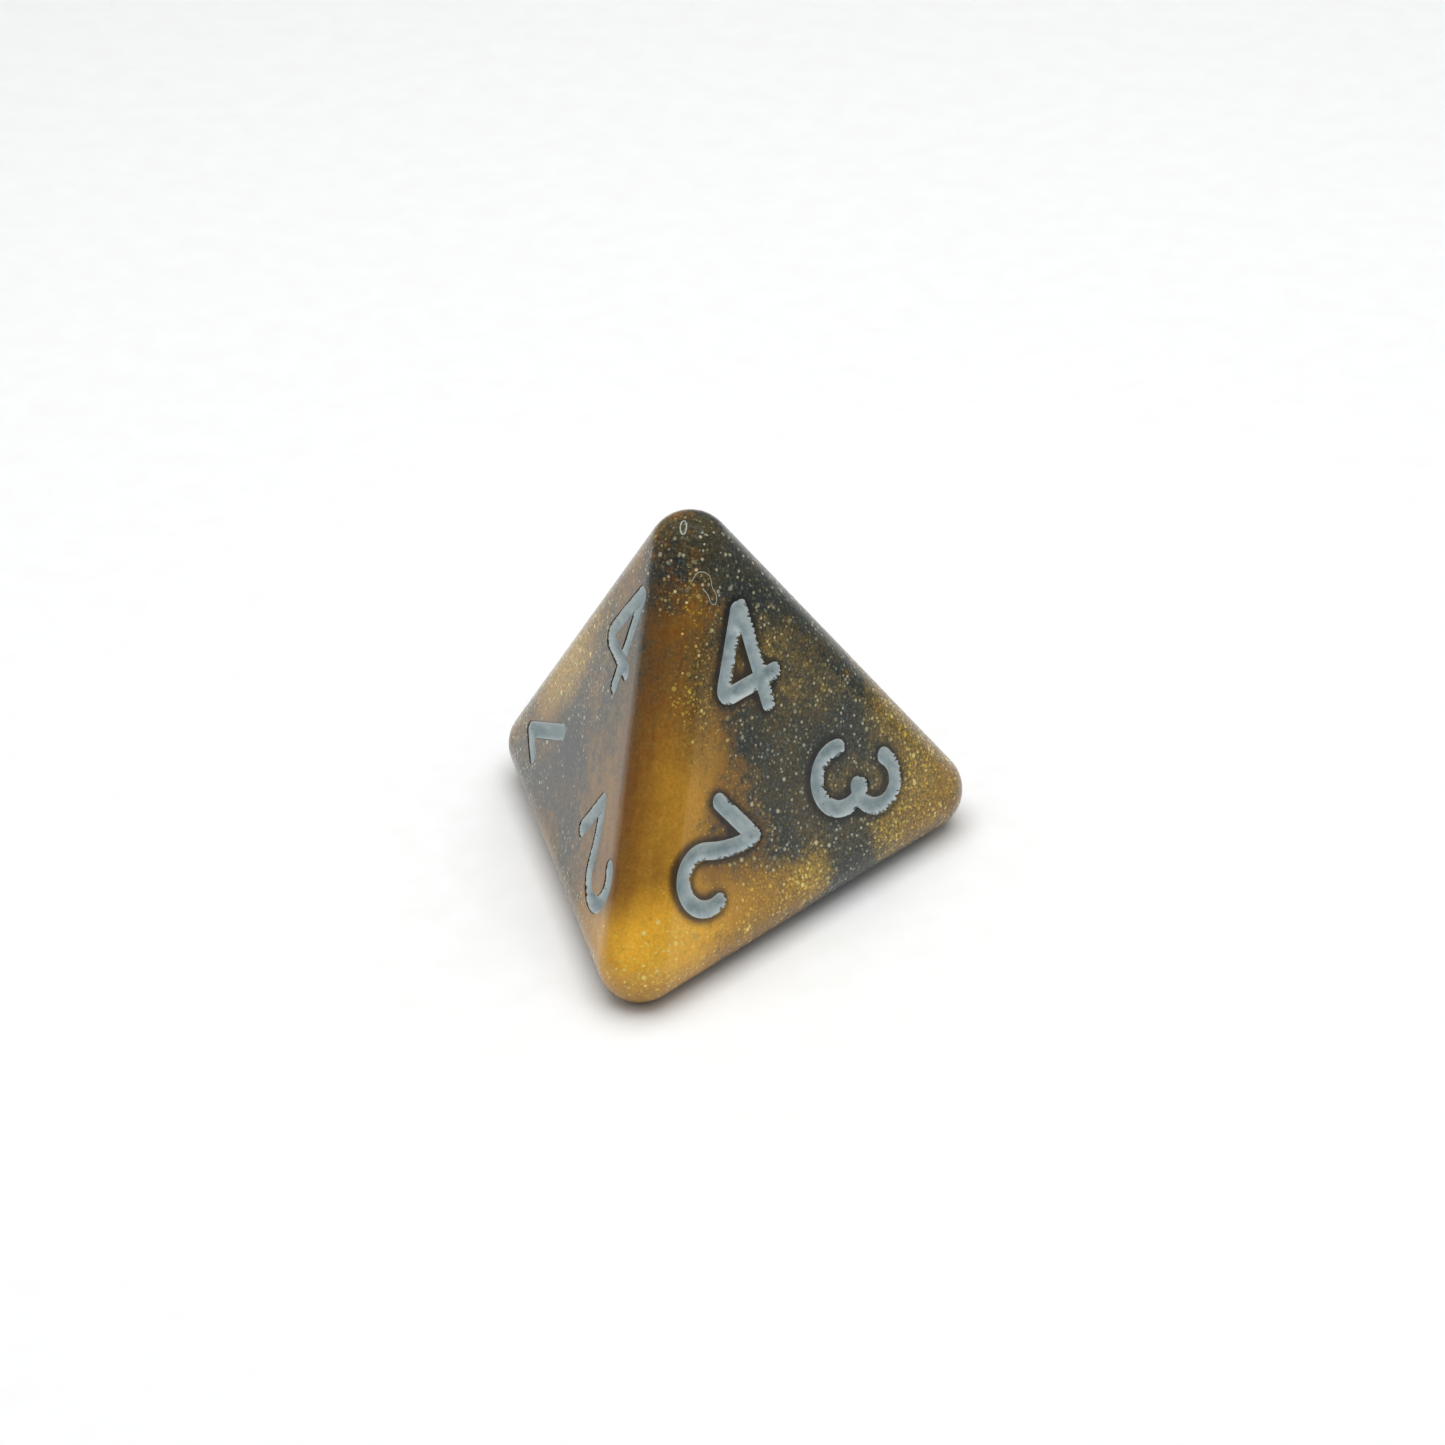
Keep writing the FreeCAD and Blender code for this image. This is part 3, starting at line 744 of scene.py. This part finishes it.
@dataclass
class ResinCasting:
    """The one casting, with its twelve engraved grooves.

    Args:
        die: its shape.
        node: the CAD node that it stands for.
        surface_slack: how far a facet may be off the exact surface, in metres.
        sharp_angle: the least angle of a crisp edge, in degrees.
    """

    die: Tetrahedron
    node: str = "resin_body"
    surface_slack: float = 0.03 * MM
    sharp_angle: float = 30.0

    def build(self) -> Mesh:
        """Copies the CAD casting and gives its rounded edges their exact normals.

        Returns:
            The mesh.
        """
        shape = merged_copy(self.node)
        limit = math.radians(self.sharp_angle)
        for edge in shape.edges:
            edge.smooth = edge.calc_face_angle(0.0) < limit
        for face in shape.faces:
            face.smooth = True
        mesh = bpy.data.meshes.new("resin_casting")
        shape.to_mesh(mesh)
        shape.free()
        normals = [corner.vector.copy() for corner in mesh.corner_normals]
        for polygon in mesh.polygons:
            nearest, outward = self.die.surface(polygon.center)
            if (nearest - polygon.center).length > self.surface_slack or outward.dot(polygon.normal) < 0.9:
                continue
            for loop in polygon.loop_indices:
                place = mesh.vertices[mesh.loops[loop].vertex_index].co
                normals[loop] = self.die.surface(place)[1]
        mesh.normals_split_custom_set(normals)
        return mesh

    def dress(self, mesh: Mesh, material: Material) -> Object:
        """Makes the casting's piece.

        Args:
            mesh: the casting's mesh.
            material: its resin.

        Returns:
            The piece, which stands for the CAD casting.
        """
        piece = new_piece("resin_casting", mesh, material)
        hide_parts(self.node)
        return piece


@dataclass(frozen=True)
class BleachedFibre:
    """A bleached polyester fibre from the polishing cloth: pale, with a silky shine."""

    shades: tuple[str, str] = ("#8f9488", "#b4b8ab")
    roughness: float = 0.4

    def dress(self) -> Material:
        """Builds the material.

        Returns:
            The material.
        """
        material, tree, place = new_material("bleached_polyester_fibre")
        dust = add_node(tree, "ShaderNodeTexNoise", {"Vector": place, "Scale": 1 / 0.2, "Detail": 2.0})
        stops = [(0.35 + 0.3 * number, shade) for number, shade in enumerate(self.shades)]
        tone = add_node(tree, "ShaderNodeValToRGB", {"Fac": dust.outputs["Fac"]}, stops=stops)
        shader = add_node(tree, "ShaderNodeBsdfPrincipled", {
            "Base Color": tone.outputs[0], "Roughness": self.roughness, "IOR": 1.55, "Sheen Weight": 0.2,
        })
        add_node(tree, "ShaderNodeOutputMaterial", {"Surface": shader.outputs[0]})
        return material


@dataclass
class TrappedFibre:
    """A stray fibre that set in the resin's skin, half sunk.

    Args:
        die: the die's shape.
        name: name of its piece.
        face: the face that it lies on.
        middle: its middle, right of the face's middle and towards its top corner, in
            millimetres.
        turns: points along it from there, in millimetres.
        ring: whether its ends meet.
        thickness: its diameter, in millimetres.
    """

    die: Tetrahedron
    name: str
    face: Face
    middle: tuple[float, float]
    turns: tuple[tuple[float, float], ...]
    ring: bool = False
    thickness: float = 0.05

    def build(self) -> Mesh:
        """Lays the fibre along the rounded surface.

        Returns:
            The mesh, in place.
        """
        line = bpy.data.curves.new(self.name, "CURVE")
        line.dimensions = "3D"
        line.bevel_depth = self.thickness / 2 * MM
        line.bevel_resolution = 2
        line.use_fill_caps = not self.ring
        spline = line.splines.new("NURBS")
        spline.points.add(len(self.turns) - 1)
        for point, (side, lift) in zip(spline.points, self.turns):
            near = self.die.point(self.face, self.middle[0] + side, self.middle[1] + lift)
            point.co = (*self.die.surface(near)[0], 1.0)
        spline.order_u = 3
        spline.use_cyclic_u = self.ring
        spline.use_endpoint_u = not self.ring
        spline.resolution_u = 6
        holder = bpy.data.objects.new(self.name, line)
        bpy.context.scene.collection.objects.link(holder)
        seen = holder.evaluated_get(bpy.context.evaluated_depsgraph_get())
        mesh = bpy.data.meshes.new_from_object(seen)
        bpy.data.objects.remove(holder)
        bpy.data.curves.remove(line)
        shape = bmesh.new()
        shape.from_mesh(mesh)
        bmesh.ops.remove_doubles(shape, verts=shape.verts, dist=MERGE_DISTANCE)
        bmesh.ops.recalc_face_normals(shape, faces=shape.faces)
        for face in shape.faces:
            face.smooth = True
        shape.to_mesh(mesh)
        shape.free()
        return mesh

    def dress(self, mesh: Mesh, material: Material) -> Object:
        """Makes the fibre's piece.

        Args:
            mesh: the fibre's mesh.
            material: what it is made of.

        Returns:
            The piece.
        """
        return new_piece(self.name, mesh, material)


# ---------------------------------------------------------------- the figures' paint

@dataclass(frozen=True)
class WipedPaint:
    """Silver-grey acrylic ink, flooded into the grooves and wiped flush.

    It dries to a satin skin with small pits. Its colour is painted paler along the
    groove's rim and darker down a stroke's middle: painted light and painted shade.

    Args:
        shades: the paint from its darkest cloud to its palest.
        rim_light_shade: colour of the painted light along the rim.
        pit_shade: colour of a pit.
        roughness: of the satin skin.
        cloud_size: size of the clouds in it, in millimetres.
        pit_spacing: distance between pits, in millimetres.
        grain_size: size of the skin's fine grain, in millimetres.
    """

    shades: tuple[str, ...] = ("#84979b", "#9aa9ac", "#b0bbbb")
    rim_light_shade: str = "#cdd3d1"
    pit_shade: str = "#667375"
    roughness: float = 0.46
    cloud_size: float = 0.55
    pit_spacing: float = 0.35
    grain_size: float = 0.06

    def dress(self) -> Material:
        """Builds the material.

        Returns:
            The material.
        """
        material, tree, place = new_material("silver_grey_acrylic_ink_satin")
        clouds = add_node(tree, "ShaderNodeTexNoise", {
            "Vector": place, "Scale": 1 / self.cloud_size, "Detail": 4.0, "Roughness": 0.6, "Distortion": 0.4,
        })
        stops = [(0.35 + 0.15 * number, shade) for number, shade in enumerate(self.shades)]
        body = add_node(tree, "ShaderNodeValToRGB", {"Fac": clouds.outputs["Fac"]}, stops=stops)
        # painted light along the rim, fading to painted shade down the stroke's middle
        rim = add_node(tree, "ShaderNodeAttribute", attribute_name="rim", attribute_type="GEOMETRY")
        rim_lit = add_node(tree, "ShaderNodeMix", {
            0: rim.outputs["Fac"], 6: body.outputs[0], 7: linear(self.rim_light_shade),
        }, data_type="RGBA")
        cells = add_node(tree, "ShaderNodeTexVoronoi", {
            "Vector": place, "Scale": 1 / self.pit_spacing, "Randomness": 1.0,
        }, feature="F1", voronoi_dimensions="3D")
        pits = add_node(tree, "ShaderNodeMapRange", {
            "Value": cells.outputs["Distance"], "From Min": 0.05, "From Max": 0.14,
            "To Min": 0.8, "To Max": 0.0,
        }, interpolation_type="SMOOTHSTEP")
        pitted = add_node(tree, "ShaderNodeMix", {
            0: pits.outputs[0], 6: rim_lit.outputs[2], 7: linear(self.pit_shade),
        }, data_type="RGBA")
        grain = add_node(tree, "ShaderNodeTexNoise", {
            "Vector": place, "Scale": 1 / self.grain_size, "Detail": 2.0,
        })
        bump = add_node(tree, "ShaderNodeBump", {
            "Height": grain.outputs["Fac"], "Strength": 0.35, "Distance": 0.01 * MM,
        })
        roughness = stretched(
            tree, clouds.outputs["Fac"], self.roughness - 0.08, self.roughness + 0.08, swing=0.2)
        shader = add_node(tree, "ShaderNodeBsdfPrincipled", {
            "Base Color": pitted.outputs[2],
            "Metallic": 0.15,
            "Roughness": roughness.outputs[0],
            "IOR": 1.48,
            "Normal": bump.outputs[0],
        })
        add_node(tree, "ShaderNodeOutputMaterial", {"Surface": shader.outputs[0]})
        return material


@dataclass
class FigureFill:
    """The paint in one engraved figure.

    Args:
        die: the die's shape.
        face: the face that the figure is on.
        figure: the figure, 1 to 4.
        grain: size of the fill's mesh, in millimetres.
        rise: how far above its CAD level the paint meets the wall, in millimetres.
        sag: how far the middle of the stroke has shrunk below that, in millimetres.
        half_width: half the width of a stroke, in millimetres.
        roundness: how round the channel is: 1 is a V and 2 a parabola.
        ripple: height of its unevenness, in millimetres.
        bite: how far from the wall the paint has torn away, in millimetres.
        left_bite: the same on the left face, which was wiped more gently.
        bite_depth: how deep such a tear is.
        bite_turn: the side of a stroke that tears, as an angle in the face, in degrees.
        teeth: how many tears there are to a millimetre.
        rim_light_reach: how far the painted light of the rim reaches in from the wall, in millimetres.
    """

    die: Tetrahedron
    face: Face
    figure: int
    grain: float = 0.04
    rise: float = 0.06
    sag: float = 0.27
    half_width: float = 0.38
    roundness: float = 1.5
    ripple: float = 0.022
    bite: float = 0.07
    left_bite: float = 0.03
    bite_depth: float = 0.2
    bite_turn: float = -50.0
    teeth: float = 5.5
    rim_light_reach: float = 0.11

    @property
    def node(self) -> str:
        """The CAD node that the fill stands for."""
        return f"inlay_{self.face.name.lower()}_{self.figure}"

    def remeshed(self) -> tuple[Mesh, BVHTree]:
        """Covers the CAD fill with an even, fine mesh in its face's own frame.

        Returns:
            The mesh, in millimetres with +Z outwards, and its side walls for
            measuring the distance to them.
        """
        shape = merged_copy(self.node)
        shape.transform(Matrix.Scale(PER_MM, 4) @ self.die.axes(self.face).inverted())
        shape.normal_update()
        bmesh.ops.triangulate(shape, faces=shape.faces)
        corners = [vert.co.copy() for vert in shape.verts]
        walls = [[vert.index for vert in face.verts] for face in shape.faces if abs(face.normal.z) < 0.3]
        coarse = bpy.data.meshes.new("coarse_fill")
        shape.to_mesh(coarse)
        shape.free()
        holder = bpy.data.objects.new("coarse_fill", coarse)
        bpy.context.scene.collection.objects.link(holder)
        cover = holder.modifiers.new("cover", "REMESH")
        cover.mode = "VOXEL"
        cover.voxel_size = self.grain
        cover.adaptivity = 0.0
        cover.use_smooth_shade = True
        seen = holder.evaluated_get(bpy.context.evaluated_depsgraph_get())
        fine = bpy.data.meshes.new_from_object(seen)
        bpy.data.objects.remove(holder)
        bpy.data.meshes.remove(coarse)
        return fine, BVHTree.FromPolygons(corners, walls)

    def height(self, place: Vector, wall: Vector, inset: float) -> float:
        """Says how far the paint stands above its CAD level.

        Args:
            place: a point of its top, in the face's frame, in millimetres.
            wall: the nearest point of the groove's wall.
            inset: the distance between them.

        Returns:
            The height, in millimetres.
        """
        seed = Vector((self.figure * 17.0, self.face.value[1] * 31.0, 0))
        slope = max(0.0, 1 - inset / self.half_width) ** self.roundness
        uneven = noise.noise(place * 2.2 + seed) + 0.5 * noise.noise(place * 9 + seed)
        turn = math.radians(self.bite_turn)
        outward = (wall - place).xy.normalized() if inset > 1e-4 else Vector((0, 0))
        side = outward.dot(Vector((math.cos(turn), math.sin(turn))))
        tooth = 0.45 + noise.noise(Vector((wall.x, wall.y, 0)) * 2 * self.teeth + seed) * 1.6
        patchy = noise.noise(wall * 0.6 + seed) > -0.15
        bite = self.left_bite if self.face is Face.LEFT else self.bite
        torn = patchy and side > 0.1 and inset < bite * tooth
        return self.rise - self.sag * (1 - slope) + self.ripple * uneven - (self.bite_depth if torn else 0.0)

    def build(self) -> Mesh:
        """Shapes the fill: climbing its wall, sunk along its middle and torn in places.

        Returns:
            The mesh, in place.
        """
        fine, walls = self.remeshed()
        shape = bmesh.new()
        shape.from_mesh(fine)
        shape.normal_update()
        rim = shape.verts.layers.float.new("rim")
        lifts = {}
        for vert in shape.verts:
            if vert.normal.z < 0.35:
                continue
            wall, _, _, inset = walls.find_nearest(vert.co)
            lifts[vert] = self.height(vert.co, wall, inset)
            # how much painted light the rim gets: most at the wall, least down the middle
            vert[rim] = math.exp(-inset / self.rim_light_reach)
        for vert, lift in lifts.items():
            vert.co.z += lift
        shape.transform(self.die.axes(self.face) @ Matrix.Scale(MM, 4))
        bmesh.ops.recalc_face_normals(shape, faces=shape.faces)
        fine.name = f"paint_{self.face.name.lower()}_{self.figure}"
        shape.to_mesh(fine)
        shape.free()
        return fine

    def dress(self, mesh: Mesh, material: Material) -> Object:
        """Makes the fill's piece.

        Args:
            mesh: the fill's mesh.
            material: its paint.

        Returns:
            The piece, which stands for the CAD fill.
        """
        piece = new_piece(f"paint_{self.face.name.lower()}_{self.figure}", mesh, material)
        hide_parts(self.node)
        return piece


# ---------------------------------------------------------------- the studio

@dataclass(frozen=True)
class Softbox:
    """A round softbox that faces the die and leaves no highlight in its gloss.

    Args:
        name: which one it is.
        turn: its direction from the die, from -Y towards +X, in degrees.
        lift: its height as an angle, in degrees.
        distance: its distance from the die, in metres.
        size: its width across, in metres.
        power: its power, in watts.
    """

    name: str
    turn: float
    lift: float
    distance: float
    size: float
    power: float

    def hang(self, target: Vector) -> None:
        """Hangs the softbox.

        Args:
            target: what it faces.
        """
        turn = math.radians(self.turn)
        lift = math.radians(self.lift)
        towards = Vector((math.sin(turn) * math.cos(lift), -math.cos(turn) * math.cos(lift), math.sin(lift)))
        lamp = bpy.data.lights.new(self.name, "AREA")
        lamp.shape = "DISK"
        lamp.size = self.size
        lamp.energy = self.power
        holder = bpy.data.objects.new(self.name, lamp)
        holder.visible_glossy = False
        holder.location = target + towards * self.distance
        holder.rotation_euler = towards.to_track_quat("Z", "Y").to_euler()
        bpy.context.scene.collection.objects.link(holder)


@dataclass
class Studio:
    """The floor, the lights and the camera.

    Args:
        die: the die's shape.
        softboxes: the lights.
        sky: colour of the room all round.
        sky_strength: its brightness.
        floor_shades: the floor's two shades, which hardly differ.
        floor_size: side of the floor, in metres.
        lens: the camera's focal length for a sensor 36 mm wide, in millimetres.
        turn: the camera's direction, from -Y towards +X, in degrees.
        lift: its height as an angle, in degrees.
        roll: how far it leans clockwise, in degrees.
        distance: its distance from the die's middle, in edge lengths.
        aside: how far it is moved to the right of the die's middle, in edge lengths.
        above: how far it is moved up.
    """

    die: Tetrahedron
    softboxes: tuple[Softbox, ...] = (
        Softbox("overhead_softbox", 160, 85, 0.23, 0.28, 0.51),
        Softbox("right_softbox", 52, 56, 0.45, 0.34, 0.34),
        Softbox("left_softbox", -48, 58, 0.45, 0.34, 0.28),
    )
    sky: str = "#dfe4e8"
    sky_strength: float = 0.32
    floor_shades: tuple[str, str] = ("#f1f1ef", "#f4f4f3")
    floor_size: float = 6.0
    lens: float = 112.1
    turn: float = 16.74
    lift: float = 33.17
    roll: float = -2.49
    distance: float = 7.443
    aside: float = 0.03696
    above: float = 0.0636

    def lay_floor(self) -> None:
        """Lays the plain pale floor."""
        shape = bmesh.new()
        bmesh.ops.create_grid(shape, x_segments=1, y_segments=1, size=self.floor_size / 2)
        mesh = bpy.data.meshes.new("studio_floor")
        shape.to_mesh(mesh)
        shape.free()
        floor = bpy.data.objects.new("studio_floor", mesh)
        bpy.context.scene.collection.objects.link(floor)
        material, tree, place = new_material("matte_paper_floor")
        fibres = add_node(tree, "ShaderNodeTexNoise", {"Vector": place, "Scale": 0.6, "Detail": 3.0})
        stops = [(0.3 + 0.4 * number, shade) for number, shade in enumerate(self.floor_shades)]
        tone = add_node(tree, "ShaderNodeValToRGB", {"Fac": fibres.outputs["Fac"]}, stops=stops)
        shader = add_node(tree, "ShaderNodeBsdfPrincipled", {
            "Base Color": tone.outputs[0], "Roughness": 0.9, "Specular IOR Level": 0.1,
        })
        add_node(tree, "ShaderNodeOutputMaterial", {"Surface": shader.outputs[0]})
        mesh.materials.append(material)

    def light(self) -> None:
        """Lights the room and hangs the softboxes."""
        world = bpy.data.worlds.new("studio_room")
        world.use_nodes = True
        room = world.node_tree.nodes["Background"]
        room.inputs["Color"].default_value = linear(self.sky)
        room.inputs["Strength"].default_value = self.sky_strength
        bpy.context.scene.world = world
        for softbox in self.softboxes:
            softbox.hang(self.die.middle)

    def place_camera(self) -> None:
        """Places the camera."""
        turn, lift, roll = (math.radians(angle) for angle in (self.turn, self.lift, self.roll))
        back = Vector((math.sin(turn) * math.cos(lift), -math.cos(turn) * math.cos(lift), math.sin(lift)))
        level = Vector((0, 0, 1)).cross(back).normalized()
        upright = back.cross(level)
        right = level * math.cos(roll) + upright * math.sin(roll)
        up = upright * math.cos(roll) - level * math.sin(roll)
        camera = bpy.data.cameras.new("camera")
        camera.sensor_width = 36.0
        camera.lens = self.lens
        camera.clip_start = 0.01
        camera.clip_end = 20.0
        holder = bpy.data.objects.new("camera", camera)
        place = Matrix((right, up, back)).transposed().to_4x4()
        place.translation = self.die.middle + self.die.edge * (
            back * self.distance + right * self.aside + up * self.above)
        holder.matrix_world = place
        bpy.context.scene.collection.objects.link(holder)
        bpy.context.scene.camera = holder

    def build(self) -> None:
        """Sets up the whole studio."""
        bpy.context.scene.view_settings.view_transform = "Standard"
        self.lay_floor()
        self.light()
        self.place_camera()


def main() -> None:
    """Builds the die, piece by piece, and the studio round it."""
    logging.basicConfig(level=logging.INFO, format="%(name)s: %(message)s")
    die = Tetrahedron()
    Studio(die).build()
    casting = ResinCasting(die)
    casting.dress(casting.build(), CastResin().dress(die))
    lint = BleachedFibre().dress()
    for fibre in (
        TrappedFibre(die, "fibre_ring", Face.RIGHT, (-1.3, 12.5), RING_TURNS, ring=True, thickness=0.065),
        TrappedFibre(die, "fibre_curl", Face.RIGHT, (-1.1, 8.5), CURL_TURNS, thickness=0.035),
    ):
        fibre.dress(fibre.build(), lint)
    paint = WipedPaint().dress()
    for face in Face:
        for figure in face.value:
            fill = FigureFill(die, face, figure)
            fill.dress(fill.build(), paint)


if __name__ == "__main__":
    main()
